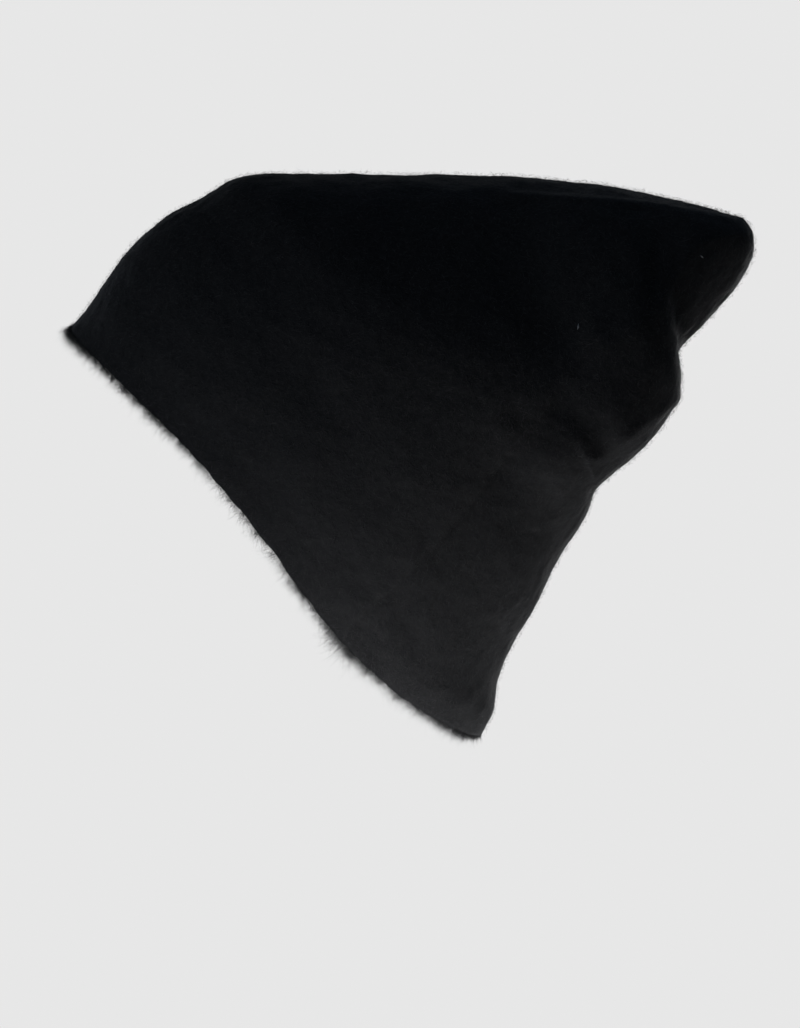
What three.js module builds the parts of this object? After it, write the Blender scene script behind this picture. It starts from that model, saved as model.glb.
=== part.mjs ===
// A slouchy beanie of brushed black felt, in the form that it takes on a head.
// It is one seamless felt wall: a raked mouth, a close crown, and slack at the back that folds
// over in a pouch and ends in a flat round tip. The wall has the same thickness all over.
//
// Millimetres. +X runs from the forehead to the back of the head, +Y to the wearer's right and
// +Z up. The origin is where the top of the head meets the inside of the crown.

import * as THREE from "three";

const wall = 2.5; // thickness of the felt
const edgeRound = 0.7; // how far the middle of the cut edge stands out past its two corners
const around = 60; // facets round a section
const ringsPerRow = 2; // rings of facets from one row of the section table to the next
const foldSteps = 40; // points that a fold's line is drawn with
const blendAtMiddle = 22; // within this distance of the middle plane, side folds fade out
const felt = { color: 0x16171a, roughness: 0.95, metalness: 0 };

// Rows of values, each under the name of its column.
function table(columns, rows) {
  return rows.map((row) => Object.fromEntries(columns.map((column, i) => [column, row[i]])));
}

// One row for each section, from the mouth to the tip. A section is an oval that stands across
// the middle plane. It runs from the front (or, further on, top) point to the back point.
// halfWidth is its reach to each side, and widest is where that is, from 0 at the front to 1 at
// the back. fullFront and fullBack say how square its two ends are: 2 is an ellipse. taperFront
// and taperBack are the shares of its width that its sides lose on the way to each end, besides
// that roundness, or gain where they are negative.
// lift raises the front half of its sides off its plane, and hang lets the back half sag.
const sections = table(
  [
    "frontX", "frontZ", "backX", "backZ", "halfWidth",
    "widest", "fullFront", "fullBack", "taperFront", "taperBack", "lift", "hang",
  ],
  [
    [-107.5, -63.0, 72.5, -245.0, 73, 0.52, 2.3, 2.2, 0.0, 0.0, 5.0, 7.0],
    [-101.5, -56.0, 76.5, -233.5, 75, 0.52, 2.3, 2.2, 0.0, 0.0, 4.5, 6.5],
    [-93.5, -45.0, 78.5, -219.0, 77, 0.52, 2.3, 2.2, 0.0, 0.0, 4.0, 5.5],
    [-83.0, -30.5, 85.0, -202.5, 79, 0.52, 2.2, 2.2, 0.0, 0.0, 3.0, 4.5],
    [-69.5, -18.0, 94.5, -186.5, 80, 0.52, 2.1, 2.2, 0.0, 0.0, 2.0, 3.0],
    [-51.5, -8.0, 103.5, -167.5, 81, 0.52, 2.0, 2.2, 0.0, 0.0, 1.0, 1.5],
    [-31.0, 2.0, 112.0, -153.0, 81, 0.52, 2.0, 2.3, 0.0, 0.0, 0.0, 0.0],
    [0.0, 2.5, 117.0, -142.5, 80, 0.55, 2.05, 2.6, 0.02, -0.02, 0.0, 0.0],
    [42.0, 2.0, 119.5, -135.0, 79, 0.62, 2.2, 3.0, 0.08, -0.05, 0.0, 0.0],
    [78.0, 1.5, 122.0, -130.5, 78, 0.68, 2.5, 3.4, 0.16, -0.06, 0.0, 0.0],
    [102.0, 0.0, 137.0, -116.5, 78, 0.58, 3.0, 3.4, 0.22, 0.08, 0.0, 0.0],
    [119.0, -1.5, 152.5, -98.0, 76, 0.56, 3.4, 3.2, 0.23, 0.2, 0.0, 0.0],
    [130.5, -3.5, 155.5, -87.0, 73, 0.56, 3.5, 3.0, 0.22, 0.22, 0.0, 0.0],
    [141.0, -5.5, 155.0, -75.5, 68, 0.52, 3.4, 2.9, 0.19, 0.2, 0.0, 0.0],
    [154.5, -8.0, 168.0, -60.5, 62, 0.36, 3.0, 2.6, 0.15, 0.2, 0.0, 0.0],
    [169.0, -11.5, 180.5, -46.0, 52, 0.34, 2.7, 2.3, 0.1, 0.15, 0.0, 0.0],
    [180.0, -15.5, 186.5, -35.5, 38, 0.36, 2.4, 2.1, 0.05, 0.05, 0.0, 0.0],
    [185.5, -19.0, 188.0, -30.0, 21, 0.42, 2.2, 2.0, 0.0, 0.0, 0.0, 0.0],
  ],
);
const tip = { x: 189, z: -24 };
const sagStart = 1.05; // 1 where the sides start to sag halfway along, more where it is later

// One row for each fold of the sides, seen from the wearer's left: a line from start through
// bend to end. The depths are how far the felt goes in along it, or comes out where they are
// negative, at its start and at its end, and fadeWidth is how far from it that has faded.
// otherSide is the share of the depth on the wearer's right.
const folds = table(
  [
    "name", "startX", "startZ", "bendX", "bendZ", "endX", "endZ",
    "fadeWidth", "startDepth", "endDepth", "otherSide",
  ],
  [
    ["tuck_over_nape", 123, -130, 124, -105, 94, -92, 10, 11, 0.5, 0.8],
    ["tuck_under_tip", 157, -76, 150, -58, 144, -36, 6, 7, 0.5, 0.8],
    ["pouch", 134, -106, 141, -91, 143, -71, 14, -5, -3, 0.9],
    ["side_ridge", 89, -95, 100, -80, 114, -65, 5, -0.3, -1.2, 0.4],
    ["side_crease", 18, -195, 60, -151, 98, -96, 6, 0.6, 2, 0.7],
  ],
);

// A value between the rows of a column, on a smooth curve through them.
function between(column, at) {
  const last = sections.length - 1;
  const row = Math.min(Math.floor(at), last - 1);
  const t = at - row;
  const value = (i) => sections[Math.min(Math.max(i, 0), last)][column];
  const [before, from, to, after] = [-1, 0, 1, 2].map((step) => value(row + step));
  const slopeFrom = (to - before) / 2;
  const slopeTo = (after - from) / 2;
  const easeTo = t * t * (3 - 2 * t);
  return (
    from * (1 - easeTo) + to * easeTo +
    slopeFrom * t * (1 - t) * (1 - t) - slopeTo * t * t * (1 - t)
  );
}

function sectionAt(at) {
  const columns = Object.keys(sections[0]);
  return Object.fromEntries(columns.map((column) => [column, between(column, at)]));
}

// A point of a section's oval. The angle is 0 at the front, and positive on the wearer's left.
function ovalPoint(section, angle) {
  const front = new THREE.Vector3(section.frontX, 0, section.frontZ);
  const back = new THREE.Vector3(section.backX, 0, section.backZ);
  const middle = front.clone().lerp(back, section.widest);
  const [along, across] = [Math.cos(angle), Math.sin(angle)];
  const power = 2 / (along > 0 ? section.fullFront : section.fullBack);
  const reach = Math.abs(along) ** power;
  const taper = along > 0 ? section.taperFront : section.taperBack;
  const side = Math.sign(across) * Math.abs(across) ** power * (1 - taper * reach);
  const point = middle.clone().lerp(along > 0 ? front : back, reach);
  point.y = -section.halfWidth * side;

  const chord = back.clone().sub(front);
  const share = point.clone().sub(front).dot(chord) / chord.lengthSq();
  const wave = Math.sin(2 * Math.PI * THREE.MathUtils.clamp(share, 0, 1) ** sagStart);
  const awayFromMouth = new THREE.Vector3(-chord.z, 0, chord.x).normalize();
  return point.addScaledVector(awayFromMouth, wave * (wave > 0 ? section.lift : section.hang));
}

const foldLines = folds.map((fold) => ({
  ...fold,
  line: new THREE.QuadraticBezierCurve(
    new THREE.Vector2(fold.startX, fold.startZ),
    new THREE.Vector2(fold.bendX, fold.bendZ),
    new THREE.Vector2(fold.endX, fold.endZ),
  ).getPoints(foldSteps),
}));

// Presses the folds into a point of a side.
function folded(point) {
  const seen = new THREE.Vector2(point.x, point.z);
  let inwards = 0;
  for (const { line, fadeWidth, startDepth, endDepth, otherSide } of foldLines) {
    const away = line.map((place) => place.distanceTo(seen));
    const nearest = away.indexOf(Math.min(...away));
    const depth = THREE.MathUtils.lerp(startDepth, endDepth, nearest / (line.length - 1));
    const side = point.y > 0 ? otherSide : 1;
    inwards += side * depth * Math.exp(-((away[nearest] / fadeWidth) ** 2));
  }
  const fade = Math.min(Math.abs(point.y) / blendAtMiddle, 1);
  point.y -= Math.sign(point.y) * inwards * fade;
  return point;
}

// The rings of the outer face, from the mouth to the last ring before the tip.
function outerRings() {
  const rings = [];
  for (let i = 0; i <= (sections.length - 1) * ringsPerRow; i += 1) {
    const section = sectionAt(i / ringsPerRow);
    rings.push(
      Array.from({ length: around }, (_, j) => folded(ovalPoint(section, (2 * Math.PI * j) / around))),
    );
  }
  return rings;
}

// The closed surface over a list of rings, with a point beyond its first and last.
function skin(rings, firstPoint, lastPoint) {
  const points = [firstPoint, ...rings.flat(), lastPoint];
  const at = (ring, j) => 1 + ring * around + (j % around);
  const faces = [];
  for (let j = 0; j < around; j += 1) {
    faces.push(0, at(0, j + 1), at(0, j));
    faces.push(points.length - 1, at(rings.length - 1, j), at(rings.length - 1, j + 1));
    for (let ring = 0; ring + 1 < rings.length; ring += 1) {
      faces.push(at(ring, j), at(ring + 1, j + 1), at(ring + 1, j));
      faces.push(at(ring, j), at(ring, j + 1), at(ring + 1, j + 1));
    }
  }
  const geometry = new THREE.BufferGeometry().setFromPoints(points);
  geometry.setIndex(faces);
  geometry.computeVertexNormals();
  return geometry;
}

// The felt wall: the outer face, the rounded cut edge of the mouth, and the inner face.
function feltShell() {
  const outer = outerRings();
  const outerTip = new THREE.Vector3(tip.x, 0, tip.z);
  const mouthMiddle = new THREE.Vector3();
  outer[0].forEach((point) => mouthMiddle.addScaledVector(point, 1 / around));

  const normals = skin(outer, mouthMiddle, outerTip).getAttribute("normal");
  const normalAt = (index) => new THREE.Vector3().fromBufferAttribute(normals, index);
  const sunk = (point, index) => point.clone().addScaledVector(normalAt(index), -wall);
  const rimNormal = (j) => {
    const next = outer[1][j].clone().sub(outer[0][j]).normalize();
    const along = outer[0][(j + 1) % around].clone().sub(outer[0][(j + around - 1) % around]);
    return along.cross(next).normalize();
  };
  const innerMouth = outer[0].map((point, j) => point.clone().addScaledVector(rimNormal(j), -wall));
  const inner = outer.map((ring, i) =>
    i === 0 ? innerMouth : ring.map((point, j) => sunk(point, 1 + i * around + j)),
  );
  const edge = outer[0].map((point, j) => {
    const outwards = point.clone().sub(outer[1][j]).setLength(edgeRound);
    return point.clone().lerp(innerMouth[j], 0.5).add(outwards);
  });
  const innerTip = sunk(outerTip, 1 + outer.length * around);
  return skin([...inner.reverse(), edge, ...outer], innerTip, outerTip);
}

function namedMesh(name, geometry) {
  const mesh = new THREE.Mesh(geometry, new THREE.MeshStandardMaterial(felt));
  mesh.name = name;
  return mesh;
}

const beanie = new THREE.Group();
beanie.add(namedMesh("felt_shell", feltShell()));

export default beanie;
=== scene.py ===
import math

import bpy
import numpy as np
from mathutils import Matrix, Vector


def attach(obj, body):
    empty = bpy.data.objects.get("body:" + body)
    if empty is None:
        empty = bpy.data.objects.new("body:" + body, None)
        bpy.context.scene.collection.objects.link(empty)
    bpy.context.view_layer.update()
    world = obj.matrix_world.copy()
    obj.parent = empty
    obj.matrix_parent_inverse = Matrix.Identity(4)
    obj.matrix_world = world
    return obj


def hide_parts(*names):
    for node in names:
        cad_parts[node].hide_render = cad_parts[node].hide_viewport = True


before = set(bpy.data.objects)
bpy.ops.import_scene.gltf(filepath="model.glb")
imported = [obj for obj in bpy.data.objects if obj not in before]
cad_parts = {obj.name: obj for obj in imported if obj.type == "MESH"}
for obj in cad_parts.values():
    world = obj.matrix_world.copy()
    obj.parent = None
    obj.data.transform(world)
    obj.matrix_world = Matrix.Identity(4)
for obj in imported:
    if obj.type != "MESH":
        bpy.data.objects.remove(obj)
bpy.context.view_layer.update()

mm = 0.001
fullTurn = 6.3  # radians, a little over one turn, for chance shifts of a wave
photoWidth, photoHeight = 800, 1028

scene = bpy.context.scene
scene.view_settings.view_transform = "Standard"


# The photo's view of the hat. originPixel is where the part's origin lies in the photo
camera = dict(distance=1.25, elevation=6.5, mmPerPixel=0.44, originPixel=(320, 180), originZ=0.001)
camera["aim"] = Vector((
    (photoWidth / 2 - camera["originPixel"][0]) * camera["mmPerPixel"] * mm,
    0,
    (camera["originPixel"][1] - photoHeight / 2) * camera["mmPerPixel"] * mm + camera["originZ"],
))
camera["pitch"] = math.radians(camera["elevation"])
camera["ahead"] = Vector((0, math.cos(camera["pitch"]), -math.sin(camera["pitch"])))
camera["up"] = Vector((0, math.sin(camera["pitch"]), math.cos(camera["pitch"])))
camera["place"] = camera["aim"] - camera["ahead"] * camera["distance"]
camera["pixels"] = camera["distance"] / (camera["mmPerPixel"] * mm)  # focal length in photo pixels


def deselectAll():
    if bpy.context.object and bpy.context.object.mode != "OBJECT":
        bpy.ops.object.mode_set(mode="OBJECT")
    bpy.ops.object.select_all(action="DESELECT")


def makeCamera():
    turn = camera["ahead"].to_track_quat("-Z", "Y").to_euler()
    bpy.ops.object.camera_add(location=camera["place"], rotation=turn)
    seen = bpy.context.object
    seen.name = "photo_camera"
    seen.data.sensor_width = 36
    seen.data.lens = camera["pixels"] * seen.data.sensor_width / photoHeight  # the long side is 36 mm
    seen.data.clip_start = 0.05
    scene.camera = seen
    print("camera", round(seen.data.lens, 1), "mm lens")


# Varying numbers of a material, written as plain sums
class Shade:
    def __init__(self, tree, socket):
        self.tree, self.socket = tree, socket

    def math(self, operation, *others):
        made = self.tree.nodes.new("ShaderNodeMath")
        made.operation = operation
        for place, value in zip(made.inputs, (self, *others)):
            plug(self.tree, place, value)
        return Shade(self.tree, made.outputs[0])

    def __add__(self, other):
        return self.math("ADD", other)

    def __radd__(self, other):
        return self.math("ADD", other)

    def __mul__(self, other):
        return self.math("MULTIPLY", other)

    def __rmul__(self, other):
        return self.math("MULTIPLY", other)


def plug(tree, place, value):
    if isinstance(value, Shade):
        tree.links.new(value.socket, place)
    else:
        place.default_value = value


class Finish:
    def __init__(self, name):
        self.material = bpy.data.materials.new(name)
        self.material.use_nodes = True
        self.tree = self.material.node_tree
        self.surface = self.tree.nodes["Principled BSDF"]

    def node(self, kind, settings=None, output=0, **values):
        made = self.tree.nodes.new(kind)
        for key, value in (settings or {}).items():
            setattr(made, key, value)
        for key, value in values.items():
            plug(self.tree, made.inputs[key.replace("_", " ")], value)
        return Shade(self.tree, made.outputs[output])

    def noise(self, scale, detail=3, rough=0.5, twist=0, kind="FBM"):
        place = self.node("ShaderNodeTexCoord", output="Object")
        return self.node(
            "ShaderNodeTexNoise", {"noise_type": kind}, Vector=place,
            Scale=scale, Detail=detail, Roughness=rough, Distortion=twist,
        )

    def between(self, value, low, high):
        return self.node("ShaderNodeMapRange", Value=value, From_Min=low, From_Max=high)

    def mixed(self, share, first, second):
        made = self.tree.nodes.new("ShaderNodeMix")
        made.data_type = "RGBA"
        plug(self.tree, made.inputs[0], share)
        plug(self.tree, made.inputs[6], first)
        plug(self.tree, made.inputs[7], second)
        return Shade(self.tree, made.outputs[2])

    def set(self, **values):
        for key, value in values.items():
            plug(self.tree, self.surface.inputs[key.replace("_", " ")], value)


# The hat's main form: a row for each section, from the mouth to the tip, in mm. A section is an
# oval across the middle plane, from its front (further on, top) point to its back point. widest
# is where it reaches halfWidth, full how square an end is, and taper how far an end narrows.
# lift raises the front half of its sides, and hang lets the back half sag
hat = dict(
    around=400,
    outerRings=200,
    innerRings=30,
    edgeRings=3,
    wall=2.5,
    edgeRound=0.9,
    edgeSeed=5,
    edgeWaves=range(9, 90, 5),  # round the mouth, for its ragged edge
    edgeWaveHeight=(0.03, 0.12),
    tip=(189, -24),
    sagStart=1.05,
    blendAtMiddle=22,  # within this distance of the middle plane, side folds fade out
    foldPaintedShade=0.3,  # how much a fold's depth darkens the felt's colour as painted shade, beside a crease of the same depth
    samplesPerRow=35,
    columns="frontX frontZ backX backZ halfWidth widest fullFront fullBack taperFront taperBack lift hang",
    sections=(
        (-107.5, -63.0, 71.5, -243.0, 73, 0.52, 2.3, 2.2, 0.0, 0.0, 5.0, 7.0),
        (-101.5, -56.0, 76.5, -232.5, 75, 0.52, 2.3, 2.2, 0.0, 0.0, 4.5, 6.5),
        (-93.5, -45.0, 78.5, -219.0, 77, 0.52, 2.3, 2.2, 0.0, 0.0, 4.0, 5.5),
        (-83.0, -30.5, 85.0, -202.5, 79, 0.52, 2.2, 2.2, 0.0, 0.0, 3.0, 4.5),
        (-69.5, -18.0, 94.5, -186.5, 80, 0.52, 2.1, 2.2, 0.0, 0.0, 2.0, 3.0),
        (-51.5, -8.0, 103.5, -167.5, 81, 0.52, 2.0, 2.2, 0.0, 0.0, 1.0, 1.5),
        (-31.0, 2.0, 112.0, -153.0, 81, 0.52, 2.0, 2.3, 0.0, 0.0, 0.0, 0.0),
        (0.0, 2.5, 117.0, -142.5, 80, 0.55, 2.05, 2.6, 0.02, -0.02, 0.0, 0.0),
        (42.0, 2.0, 119.5, -135.0, 79, 0.62, 2.2, 3.0, 0.08, -0.05, 0.0, 0.0),
        (78.0, 1.5, 122.0, -130.5, 78, 0.68, 2.5, 3.4, 0.16, -0.06, 0.0, 0.0),
        (102.0, 0.0, 137.0, -116.5, 78, 0.58, 3.0, 3.4, 0.22, 0.08, 0.0, 0.0),
        (119.0, -1.5, 152.5, -98.0, 76, 0.56, 3.4, 3.2, 0.23, 0.2, 0.0, 0.0),
        (130.5, -3.5, 155.5, -87.0, 73, 0.56, 3.5, 3.0, 0.22, 0.22, 0.0, 0.0),
        (141.0, -5.5, 155.0, -75.5, 68, 0.52, 3.4, 2.9, 0.19, 0.2, 0.0, 0.0),
        (154.5, -8.0, 168.0, -60.5, 62, 0.36, 3.0, 2.6, 0.15, 0.2, 0.0, 0.0),
        (169.0, -11.5, 180.5, -46.0, 52, 0.34, 2.7, 2.3, 0.1, 0.15, 0.0, 0.0),
        (180.0, -15.5, 186.5, -35.5, 38, 0.36, 2.4, 2.1, 0.05, 0.05, 0.0, 0.0),
        (185.5, -19.0, 188.0, -30.0, 21, 0.42, 2.2, 2.0, 0.0, 0.0, 0.0, 0.0),
    ),
)

# Folds pressed into the sides: start, bend and end as seen from the wearer's left, in mm, then
# the width over which they fade, their depth at each end and their share on the other side
folds = dict(
    columns="startX startZ bendX bendZ endX endZ width startDepth endDepth otherSide",
    rows=dict(
        tuckOverNape=(123, -130, 124, -105, 94, -92, 10, 11, 0.5, 0.8),
        tuckUnderTip=(157, -76, 150, -58, 144, -36, 6, 7, 0.5, 0.8),
        pouch=(134, -106, 141, -91, 143, -71, 14, -5, -3, 0.9),
        sideRidge=(89, -95, 100, -80, 114, -65, 5, -0.3, -1.2, 0.4),
        sideCreaseDip=(18, -195, 60, -151, 98, -96, 7, 0.5, 1.6, 0.7),
    ),
)

# Small creases and ridges, with their places in photo pixels and their widths and depths in mm
# Where they press in, they also darken the felt's colour: painted shade in the creases
creases = dict(
    unit=camera["mmPerPixel"],
    columns="startX startY bendX bendY endX endY width startDepth endDepth otherSide",
    rows=dict(
        sideLine=(356, 628, 450, 541, 509, 458, 1.0, 0.75, 0.85, 0.0),
        sideLineRidge=(350, 621, 444, 535, 503, 452, 1.6, -0.2, -0.2, 0.0),
        topRidge=(508, 195, 620, 196, 740, 221, 1.9, -0.8, -1.0, 0.8),
        overTopRidge=(520, 186, 620, 187, 735, 212, 3.0, 0.9, 0.9, 0.6),
        tipRidge=(675, 341, 656, 315, 668, 246, 3.0, -0.8, -0.7, 0.3),
        tipTuck=(668, 347, 644, 318, 654, 250, 5.0, 1.0, 0.8, 0.3),
        napeDip=(580, 466, 560, 446, 518, 420, 9.0, 1.9, 1.5, 0.3),
        pouchEdge=(598, 459, 636, 428, 678, 398, 2.4, -1.1, -0.9, 0.5),
        crownDip=(318, 178, 335, 190, 352, 230, 14.0, 0.5, 0.2, 1.0),
    ),
)

lumps = dict(seed=11, waves=26, layers=((34, 0.22), (13, 0.12), (6, 0.06)))  # wavelength, height


def curveValues(values, at):
    last = len(values) - 1
    row = np.minimum(np.floor(at).astype(int), last - 1)
    t = (at - row)[:, None]
    before, start, end, after = (
        values[np.clip(row + step, 0, last)] for step in (-1, 0, 1, 2)
    )
    ease = t * t * (3 - 2 * t)
    bend = (end - before) / 2 * t * (1 - t) ** 2 - (after - start) / 2 * t * t * (1 - t)
    return start * (1 - ease) + end * ease + bend


def ovalRing(section, angles):
    front = np.array((section["frontX"], 0, section["frontZ"]))
    back = np.array((section["backX"], 0, section["backZ"]))
    middle = front + (back - front) * section["widest"]
    along, across = np.cos(angles), np.sin(angles)
    power = 2 / np.where(along > 0, section["fullFront"], section["fullBack"])
    reach = np.abs(along) ** power
    taper = np.where(along > 0, section["taperFront"], section["taperBack"])
    side = np.sign(across) * np.abs(across) ** power * (1 - taper * reach)
    ring = middle + (np.where((along > 0)[:, None], front, back) - middle) * reach[:, None]
    ring[:, 1] = -section["halfWidth"] * side
    chord = back - front
    share = np.clip((ring - front) @ chord / (chord @ chord), 0, 1)
    wave = np.sin(2 * np.pi * share ** hat["sagStart"])
    awayFromMouth = np.array((-chord[2], 0, chord[0])) / np.linalg.norm(chord)
    sway = wave * np.where(wave > 0, section["lift"], section["hang"])
    return ring + sway[:, None] * awayFromMouth


def depthOfFolds(table, seen, farSide, steps=80):  # how far the folds press in at each place
    inwards = np.zeros(len(seen))
    names = table["columns"].split()
    letters = names[0][-1], names[1][-1]  # X and Z, or X and Y
    for row in table["rows"].values():
        fold = dict(zip(names, row))
        start, bend, end = (
            np.array([fold[spot + letter] for letter in letters]) for spot in ("start", "bend", "end")
        )
        reach = fold["width"] * 3 / table.get("unit", 1)
        corners = np.array((start, bend, end))
        near = np.all((seen > corners.min(0) - reach) & (seen < corners.max(0) + reach), axis=1)
        t = np.linspace(0, 1, steps + 1)[:, None]
        line = start * (1 - t) ** 2 + 2 * bend * t * (1 - t) + end * t ** 2
        away = np.linalg.norm(seen[near][:, None] - line[None], axis=2)
        share = away.argmin(axis=1) / steps
        depth = fold["startDepth"] + (fold["endDepth"] - fold["startDepth"]) * share
        distance = away.min(axis=1) * table.get("unit", 1)
        side = np.where(farSide[near], fold["otherSide"], 1)
        inwards[near] += side * depth * np.exp(-(distance / fold["width"]) ** 2)
    return inwards


def photoSpots(points):  # the photo pixel at which each place is seen, with the far side mirrored
    nearer = points.copy()
    nearer[:, 1] = -np.abs(nearer[:, 1])
    offset = nearer * mm - np.array(camera["place"])
    depth = offset @ np.array(camera["ahead"])
    across = photoWidth / 2 + camera["pixels"] * offset[:, 0] / depth
    down = photoHeight / 2 - camera["pixels"] * (offset @ np.array(camera["up"])) / depth
    return np.stack((across, down), axis=1)


def feltLumps(points):
    chance = np.random.default_rng(lumps["seed"])
    height = np.zeros(len(points))
    for wavelength, tall in lumps["layers"]:
        ways = chance.normal(size=(lumps["waves"], 3))
        ways /= np.linalg.norm(ways, axis=1, keepdims=True) * wavelength
        ways *= chance.uniform(0.7, 1.4, (lumps["waves"], 1))
        shift = chance.uniform(0, 2 * np.pi, lumps["waves"])
        waves = np.sin(2 * np.pi * points @ ways.T + shift)
        height += tall * waves.sum(axis=1) / math.sqrt(lumps["waves"] / 2)
    return height


def outwardNormals(grid):  # of a grid of rings from the mouth on
    alongRings = np.gradient(grid, axis=0)
    roundRings = np.roll(grid, -1, axis=1) - np.roll(grid, 1, axis=1)
    normals = np.cross(roundRings, alongRings)
    return normals / np.linalg.norm(normals, axis=2, keepdims=True)


def outerFace():
    rows = np.array(hat["sections"], float)
    names = hat["columns"].split()
    angles = np.arange(hat["around"]) * 2 * np.pi / hat["around"]

    def rings(at):
        return np.array([
            ovalRing(dict(zip(names, values)), angles) for values in curveValues(rows, at)
        ])

    at = np.linspace(0, len(rows) - 1, hat["samplesPerRow"] * len(rows))
    steps = np.linalg.norm(np.diff(rings(at), axis=0), axis=2).mean(axis=1)
    walked = np.concatenate(([0], np.cumsum(steps)))
    even = np.interp(np.linspace(0, walked[-1], hat["outerRings"]), walked, at)
    grid = rings(even)
    flat = grid.reshape(-1, 3)
    inwards = depthOfFolds(folds, flat[:, (0, 2)], flat[:, 1] > 0)
    inwards *= np.clip(np.abs(flat[:, 1]) / hat["blendAtMiddle"], 0, 1)
    flat[:, 1] -= np.sign(flat[:, 1]) * inwards
    return grid


# A round ball of rings takes the hat's shape: outer face from tip to mouth, cut edge, inner face
def makeShell():
    smooth = outerFace()
    normals = outwardNormals(smooth)
    flat, out = smooth.reshape(-1, 3), normals.reshape(-1, 3)
    farSide = flat[:, 1] > 0
    grooves = depthOfFolds(creases, photoSpots(flat), farSide)
    foldDepths = depthOfFolds(folds, flat[:, (0, 2)], farSide).clip(0)
    # Crease depths, and a share of the fold depths, darken the felt's colour in the creases and folds:
    # painted shade
    paintedShadeDepths = grooves + hat["foldPaintedShade"] * foldDepths
    outer = (flat + out * (feltLumps(flat) - grooves)[:, None]).reshape(smooth.shape)
    keep = np.linspace(0, len(smooth) - 1, hat["innerRings"]).round().astype(int)
    inner = (smooth - normals * hat["wall"])[keep]

    awayFromHat = outer[0] - outer[2]
    awayFromHat /= np.linalg.norm(awayFromHat, axis=1, keepdims=True)
    chance = np.random.default_rng(hat["edgeSeed"])
    turns = np.arange(hat["around"]) * 2 * np.pi / hat["around"]
    ragged = sum(
        chance.uniform(*hat["edgeWaveHeight"]) * np.sin(waves * turns + chance.uniform(0, fullTurn))
        for waves in hat["edgeWaves"]
    )
    edge = []
    for share in np.linspace(0, 1, hat["edgeRings"] + 2)[1:-1]:
        out = hat["edgeRound"] * math.sin(math.pi * share) + ragged
        edge.append(outer[0] * (1 - share) + inner[0] * share + awayFromHat * out[:, None])

    tip = np.array((hat["tip"][0], 0, hat["tip"][1]), float)
    rings = np.concatenate((outer[::-1], edge, inner))
    deselectAll()
    bpy.ops.mesh.primitive_uv_sphere_add(segments=hat["around"], ring_count=len(rings) + 1, radius=1)
    shell = bpy.context.object
    shell.name = shell.data.name = "felt_hat"
    ball = np.empty(len(shell.data.vertices) * 3)
    shell.data.vertices.foreach_get("co", ball)
    ball = ball.reshape(-1, 3)
    ring = (np.arccos(ball[:, 2].clip(-1, 1)) / math.pi * (len(rings) + 1)).round().astype(int)
    turn = np.arctan2(ball[:, 1], ball[:, 0]) / (2 * math.pi) * hat["around"]
    turn = turn.round().astype(int) % hat["around"]
    shaped = rings[(ring - 1).clip(0, len(rings) - 1), turn]
    shaped[ring == 0] = tip
    shaped[ring == len(rings) + 1] = tip - (hat["wall"], 0, 0)
    shell.data.vertices.foreach_set("co", (shaped * mm).ravel())
    shell.data.update()
    paintedShadeDepths = np.pad(paintedShadeDepths.reshape(smooth.shape[:2])[::-1], ((0, len(rings) - len(smooth)), (0, 0)))
    # the painted shade of creases and folds, kept on the shell's points for the felt's colour
    paintedCreaseShade = shell.data.attributes.new("paintedCreaseShade", "FLOAT", "POINT")
    paintedCreaseShade.data.foreach_set("value", paintedShadeDepths[(ring - 1).clip(0, len(rings) - 1), turn])
    bpy.ops.object.mode_set(mode="EDIT")
    bpy.ops.mesh.select_all(action="SELECT")
    bpy.ops.mesh.normals_make_consistent(inside=False)
    bpy.ops.object.mode_set(mode="OBJECT")
    bpy.ops.object.shade_smooth()
    print("shell", len(shell.data.polygons), "faces")
    return shell, outer, outwardNormals(outer), awayFromHat


feltColours = dict(
    deep=(0.0095, 0.0098, 0.0108, 1),
    plain=(0.0115, 0.0115, 0.0120, 1),
    mottled=(0.0165, 0.0165, 0.0172, 1),
    strand=(0.024, 0.024, 0.025, 1),
    # near black, mixed in where creases and folds press in: painted shade
    paintedCreaseShade=(0.003, 0.003, 0.0035, 1),
    sheen=(0.8, 0.84, 0.9, 1),
)


def feltFinish():
    felt = Finish("black_felt")
    clumps = felt.noise(110, detail=4, rough=0.6)
    patches = felt.noise(26, detail=2)
    mottle = felt.noise(380, detail=3, rough=0.7)
    strands = felt.noise(560, detail=5, rough=0.65, twist=1.2, kind="RIDGED_MULTIFRACTAL")
    strandTops = felt.between(strands, 0.9, 1.6) * felt.between(clumps, 0.3, 0.75)
    # painted shade of creases and folds, which darkens the base colour below
    paintedCreaseShade = felt.node("ShaderNodeAttribute", {"attribute_name": "paintedCreaseShade"}, output="Fac")
    dark = felt.mixed(patches, feltColours["deep"], feltColours["plain"])
    dark = felt.mixed(felt.between(mottle, 0.35, 0.68), dark, feltColours["mottled"])
    fibres = felt.mixed(strandTops, dark, feltColours["strand"])
    felt.set(
        Base_Color=felt.mixed(felt.between(paintedCreaseShade, 0.2, 1.8) * 0.5, fibres, feltColours["paintedCreaseShade"]),
        Roughness=0.86 + 0.1 * clumps,
        Specular_IOR_Level=0.08,
        Sheen_Weight=0.02,
        Sheen_Roughness=0.5,
        Sheen_Tint=feltColours["sheen"],
        Normal=felt.node(
            "ShaderNodeBump", Strength=0.6, Distance=0.0006,
            Height=strands * 0.6 + clumps + mottle,
        ),
    )
    return felt.material


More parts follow.
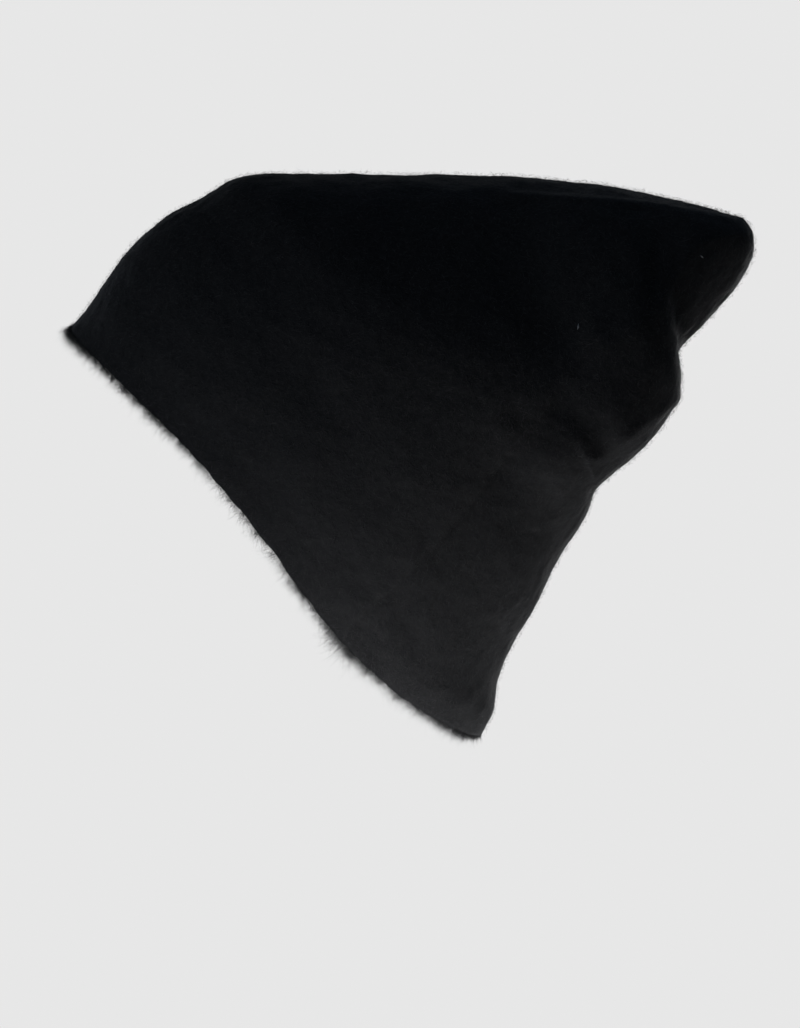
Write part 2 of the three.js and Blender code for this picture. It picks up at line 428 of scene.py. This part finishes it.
# Loose wool: short nap lying on both sides, longer strays, and a fringe of fuzz along the mouth.
# Lengths, lifts and thicknesses are from the least to the most, in mm
wool = dict(
    leftNap=dict(seed=21, count=30000, length=(1.0, 4.5), lift=(0.02, 0.3), thick=(0.022, 0.052)),
    rightNap=dict(seed=22, count=22000, length=(1.0, 4.5), lift=(0.02, 0.3), thick=(0.022, 0.052)),
    strays=dict(seed=23, count=24000, length=(1.2, 4.8), lift=(0.4, 1.9), thick=(0.018, 0.040)),
    rimFuzz=dict(seed=24, count=33000, tuft=4, length=(1.2, 8.5), spread=0.9, thick=(0.018, 0.036)),
    rimWisps=dict(seed=25, count=24000, tuft=9, length=(3.0, 10.0), spread=0.75, thick=(0.018, 0.034)),
)

# How a fibre of the nap lies on the felt
napLie = dict(
    sunk=0.05,  # its start under the surface, in mm
    sway=0.07,  # its bend to a side, as a share of its length
    middleLift=0.9,  # its middle's and its end's height, as shares of its lift
    endLift=(-0.2, 1.6),
)

# How the fuzz stands along the mouth, in tufts
rimTufts = dict(
    waves=(7, 19, 37, 71),  # round the mouth, where tufts stand closer and looser
    waveHeight=0.22,
    tuftPart=0.8,  # how far a fibre goes its tuft's way, and how far its own
    ownPart=0.6,
    besideTuft=0.15,
    longerIsRarer=1.7,
    ownLength=(0.5, 1),
    napeShorter=0.6,
    napeReach=0.35,
    root=0.4,
    outwards=0.4,
    bend=(0.18, 0.12),
    longer=((342, 645, 16, 1.5), (82, 332, 12, 1.1)),  # photo pixel, radius, how much longer
    longerTo=2,  # and as far as this over the middle plane, in mm
)

# Lint caught on the left side: start and end in photo pixels, and thickness in mm
lint = dict(
    crumb=(580, 323, 578, 330, 0.36),
    tipCrumb=(699, 254, 703, 258, 0.22),
    topHair=(637, 195, 636, 214, 0.10),
)
lintLie = dict(above=0.35, sag=0.5)


def fibreMesh(name, starts, middles, ends, thick):  # bent needles, thickest at the middle
    ways = ends - starts
    ways /= np.linalg.norm(ways, axis=1, keepdims=True)
    across = np.cross(ways, (0.31, 0.87, 0.38))
    across /= np.linalg.norm(across, axis=1, keepdims=True)
    up = np.cross(ways, across)
    count = len(starts)
    thick = thick.reshape(-1, 1)
    points = np.empty((count, 5, 3))
    points[:, 0], points[:, 4] = starts, ends
    for corner in range(3):
        turn = 2 * math.pi * corner / 3
        points[:, 1 + corner] = middles + thick * (math.cos(turn) * across + math.sin(turn) * up)
    faces = np.array(((0, 2, 1), (0, 3, 2), (0, 1, 3), (4, 1, 2), (4, 2, 3), (4, 3, 1)))
    allFaces = (faces[None] + 5 * np.arange(count)[:, None, None]).reshape(-1, 3)
    mesh = bpy.data.meshes.new(name)
    mesh.from_pydata((points.reshape(-1, 3) * mm).tolist(), [], allFaces.tolist())
    piece = bpy.data.objects.new(name, mesh)
    scene.collection.objects.link(piece)
    print(name, count, "needles")
    return piece


def leftSide(spots):
    return spots[..., 1] < 0


def rightSide(spots):
    return spots[..., 1] > 0


def allOver(spots):
    return np.ones(spots.shape[:2])


def scatter(chance, grid, normals, count, keep):  # random places on the outer face, evenly spread
    alongSide = np.linalg.norm(np.diff(grid, axis=0), axis=2)
    ringSide = np.linalg.norm(np.roll(grid, -1, axis=1) - grid, axis=2)[:-1]
    weight = (alongSide * ringSide * keep(grid[:-1])).ravel()
    cell = chance.choice(len(weight), count, p=weight / weight.sum())
    ring, turn = cell // grid.shape[1], cell % grid.shape[1]
    after = (turn + 1) % grid.shape[1]
    u, v = chance.uniform(size=(2, count, 1))
    spots = (grid[ring, turn] * (1 - u) + grid[ring + 1, turn] * u) * (1 - v) + (
        grid[ring, after] * (1 - u) + grid[ring + 1, after] * u) * v
    return spots, normals[ring, turn]


def tangents(chance, normals):
    ways = chance.normal(size=normals.shape)
    ways -= normals * (ways * normals).sum(axis=1, keepdims=True)
    return ways / np.linalg.norm(ways, axis=1, keepdims=True)


def makeNap(name, key, grid, normals, keep):
    nap = wool[key]
    chance = np.random.default_rng(nap["seed"])
    spots, out = scatter(chance, grid, normals, nap["count"], keep)
    way = tangents(chance, out)
    sideways = np.cross(out, way)
    length = chance.uniform(*nap["length"], (len(spots), 1))
    lift = chance.uniform(*nap["lift"], (len(spots), 1))
    sway = chance.normal(0, napLie["sway"], (len(spots), 1)) * length
    starts = spots - way * length / 2 - out * napLie["sunk"]
    endLift = lift * chance.uniform(*napLie["endLift"], (len(spots), 1))
    ends = spots + way * length / 2 + out * endLift
    middles = spots + out * lift * napLie["middleLift"] + sideways * sway
    return fibreMesh(name, starts, middles, ends, chance.uniform(*nap["thick"], len(spots)))


def makeRimFuzz(name, key, grid, normals, awayFromHat):  # in tufts, shorter over the nape
    fuzz = wool[key]
    chance = np.random.default_rng(fuzz["seed"])
    around, count = grid.shape[1], fuzz["count"]
    tufts = count // fuzz["tuft"] + 1
    tuft = np.arange(count) // fuzz["tuft"]

    def vary(wide):  # a value for each fibre: its tuft's, and some of its own
        ofTufts = chance.normal(0, rimTufts["tuftPart"], (tufts, 1))[tuft]
        return wide * (ofTufts + chance.normal(0, rimTufts["ownPart"], (count, 1)))

    turns = np.arange(around) / around * 2 * math.pi
    weight = np.ones(around)
    for waves in rimTufts["waves"]:
        shift = chance.uniform(0, fullTurn)
        weight *= 1 + rimTufts["waveHeight"] * np.sin(waves * turns + shift)
    longer = np.ones(around)
    for across, down, radius, times in rimTufts["longer"]:
        distance = np.linalg.norm(photoSpots(grid[0]) - (across, down), axis=1)
        longer[(distance < radius) & (grid[0][:, 1] < rimTufts["longerTo"])] = times
    weight *= longer
    turn = chance.choice(around, tufts, p=weight / weight.sum())[tuft]
    after = (turn + 1) % around
    part = chance.uniform(size=(tufts, 1))[tuft]
    part = part + chance.normal(0, rimTufts["besideTuft"], (count, 1))
    out, away = normals[0][turn], awayFromHat[turn]
    along = np.cross(out, away)
    spots = grid[0][turn] * (1 - part) + grid[0][after] * part
    spots = spots - out * hat["wall"] * chance.uniform(size=(tufts, 1))[tuft]
    low, high = fuzz["length"]
    share = chance.uniform(size=(tufts, 1))[tuft] ** rimTufts["longerIsRarer"]
    length = low + (high - low) * share
    length *= chance.uniform(*rimTufts["ownLength"], (count, 1))
    fromNape = (turns[turn][:, None] - math.pi) / rimTufts["napeReach"]
    length *= 1 - rimTufts["napeShorter"] * np.exp(-fromNape ** 2)
    length *= longer[turn][:, None]
    way = away + along * vary(fuzz["spread"]) + out * vary(rimTufts["outwards"])
    way /= np.linalg.norm(way, axis=1, keepdims=True)
    starts = spots - away * rimTufts["root"]
    ends = spots + way * length
    bendAlong, bendOut = rimTufts["bend"]
    middles = (starts + ends) / 2 + (along * vary(bendAlong) + out * vary(bendOut)) * length
    return fibreMesh(name, starts, middles, ends, chance.uniform(*fuzz["thick"], count))


def makeLint(grid, normals):
    left = grid[..., 1] < 0
    spots, out = grid[left], normals[left]
    pixels = photoSpots(spots)
    rows = np.array(list(lint.values()))
    placed = []
    for row in (rows[:, 0:2], rows[:, 2:4]):
        nearest = [np.linalg.norm(pixels - pixel, axis=1).argmin() for pixel in row]
        placed.append(spots[nearest] + lintLie["above"] * out[nearest])
    starts, ends = placed
    middles = (starts + ends) / 2 - (0, lintLie["sag"], 0)
    return fibreMesh("lint", starts, middles, ends, rows[:, 4])


def fibreFinish(name, colour):
    fibre = Finish(name)
    fibre.set(
        Base_Color=colour, Roughness=0.55 + 0.3 * fibre.noise(300), Specular_IOR_Level=0.25,
    )
    return fibre.material


# A pale room with a curved foot, of the same brightness all over
stage = dict(floorZ=-0.322, radius=3.6, bend=0.9, bendSteps=8, top=1.1, sides=96, glow=0.8)


def makeStage():
    deselectAll()
    floorRadius = stage["radius"] - stage["bend"]
    bpy.ops.mesh.primitive_circle_add(
        vertices=stage["sides"], radius=floorRadius, fill_type="NGON", location=(0, 0, stage["floorZ"])
    )
    room = bpy.context.object
    room.name = "pale_room"
    bpy.ops.object.mode_set(mode="EDIT")
    bpy.ops.mesh.select_all(action="SELECT")
    bpy.ops.mesh.select_mode(type="EDGE")
    bpy.ops.mesh.region_to_loop()
    radius, height = floorRadius, 0
    for step in range(1, stage["bendSteps"] + 1):
        turn = math.pi / 2 * step / stage["bendSteps"]
        nextRadius = floorRadius + stage["bend"] * math.sin(turn)
        nextHeight = stage["bend"] * (1 - math.cos(turn))
        bpy.ops.mesh.extrude_edges_move(TRANSFORM_OT_translate={"value": (0, 0, nextHeight - height)})
        bpy.ops.transform.resize(value=(nextRadius / radius, nextRadius / radius, 1))
        radius, height = nextRadius, nextHeight
    wallHeight = stage["top"] - stage["floorZ"] - height
    bpy.ops.mesh.extrude_edges_move(TRANSFORM_OT_translate={"value": (0, 0, wallHeight)})
    bpy.ops.object.mode_set(mode="OBJECT")
    bpy.ops.object.shade_smooth()
    paint = Finish("pale_paper")
    paint.set(
        Base_Color=(0, 0, 0, 1), Roughness=1.0, Specular_IOR_Level=0.0,
        Emission_Color=(1, 1, 1, 1), Emission_Strength=stage["glow"],
    )
    room.data.materials.append(paint.material)
    room.visible_diffuse = room.visible_glossy = False  # it gives the hat no light
    print("room", len(room.data.polygons), "faces")


# Lamps under, beside, over and behind the hat. A paired one has a twin on the hat's other side
lights = dict(
    floorGlow=dict(place=(0.05, 0, -0.318), aim=(0.05, 0, 0), size=0.22, power=0.5),
    underRim=dict(
        place=(0, -0.14, -0.27), aim=(0.03, -0.07, -0.19), size=0.10, power=0.16, paired=True,
    ),
    underFace=dict(
        place=(-0.16, -0.26, -0.315), aim=(-0.04, -0.06, -0.12), size=0.15, power=0.06, paired=True,
    ),
    faceSide=dict(
        place=(-0.50, -0.36, -0.16), aim=(-0.09, 0, -0.06), size=0.3, power=0.95, paired=True,
        colour=(0.90, 0.99, 1.11),
    ),
    backSide=dict(place=(0.5, -0.25, -0.25), aim=(0.1, 0, -0.12), size=0.3, power=0.045, paired=True),
    underTip=dict(
        place=(0.26, -0.10, -0.20), aim=(0.17, -0.03, -0.05), size=0.10, power=0.04, paired=True,
    ),
    overTip=dict(
        place=(0.3, -0.3, 0.35), aim=(0.15, -0.03, -0.02), size=0.3, power=0.2, paired=True,
        colour=(0.75, 0.97, 1.25),
    ),
    behind=dict(place=(0.1, 1.6, 0.1), aim=(0.05, 0, -0.1), size=1.6, power=8),
    behindLow=dict(place=(0.35, 0.9, -0.28), aim=(0.1, 0, -0.12), size=0.6, power=14),
)
dimSky = dict(colour=(0.42, 0.64, 1.0, 1), strength=0.015)


def makeLamp(name, light, side=1):
    place, aim = (Vector((x, y * side, z)) for x, y, z in (light["place"], light["aim"]))
    bpy.ops.object.light_add(
        type="AREA", location=place, rotation=(aim - place).to_track_quat("-Z", "Y").to_euler()
    )
    lamp = bpy.context.object
    lamp.name = name
    lamp.data.size, lamp.data.energy = light["size"], light["power"]
    lamp.data.color = light.get("colour", (1, 1, 1))
    lamp.visible_camera = False


def makeLights():
    for name, light in lights.items():
        makeLamp(name + "_light", light)
        if light.get("paired"):
            makeLamp(name + "_twin_light", light, side=-1)
    world = scene.world or bpy.data.worlds.new("studio")
    scene.world = world
    world.use_nodes = True
    sky = world.node_tree.nodes["Background"]
    sky.inputs["Color"].default_value = dimSky["colour"]
    sky.inputs["Strength"].default_value = dimSky["strength"]


makeCamera()
shell, grid, normals, awayFromHat = makeShell()
shell.data.materials.append(feltFinish())
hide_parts("felt_shell")
darkWool = fibreFinish("dark_wool", (0.012, 0.012, 0.013, 1))
paleWool = fibreFinish("pale_wool", (0.035, 0.035, 0.037, 1))
paleLint = fibreFinish("pale_lint", (0.30, 0.30, 0.31, 1))

woolPieces = (
    (makeNap("left_nap", "leftNap", grid, normals, leftSide), paleWool),
    (makeNap("right_nap", "rightNap", grid, normals, rightSide), paleWool),
    (makeNap("strays", "strays", grid, normals, allOver), darkWool),
    (makeRimFuzz("rim_fuzz", "rimFuzz", grid, normals, awayFromHat), darkWool),
    (makeRimFuzz("rim_wisps", "rimWisps", grid, normals, awayFromHat), darkWool),
    (makeLint(grid, normals), paleLint),
)
for piece, finish in woolPieces:
    piece.data.materials.append(finish)
for piece in (shell, *(piece for piece, finish in woolPieces)):
    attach(piece, "root")
makeStage()
makeLights()
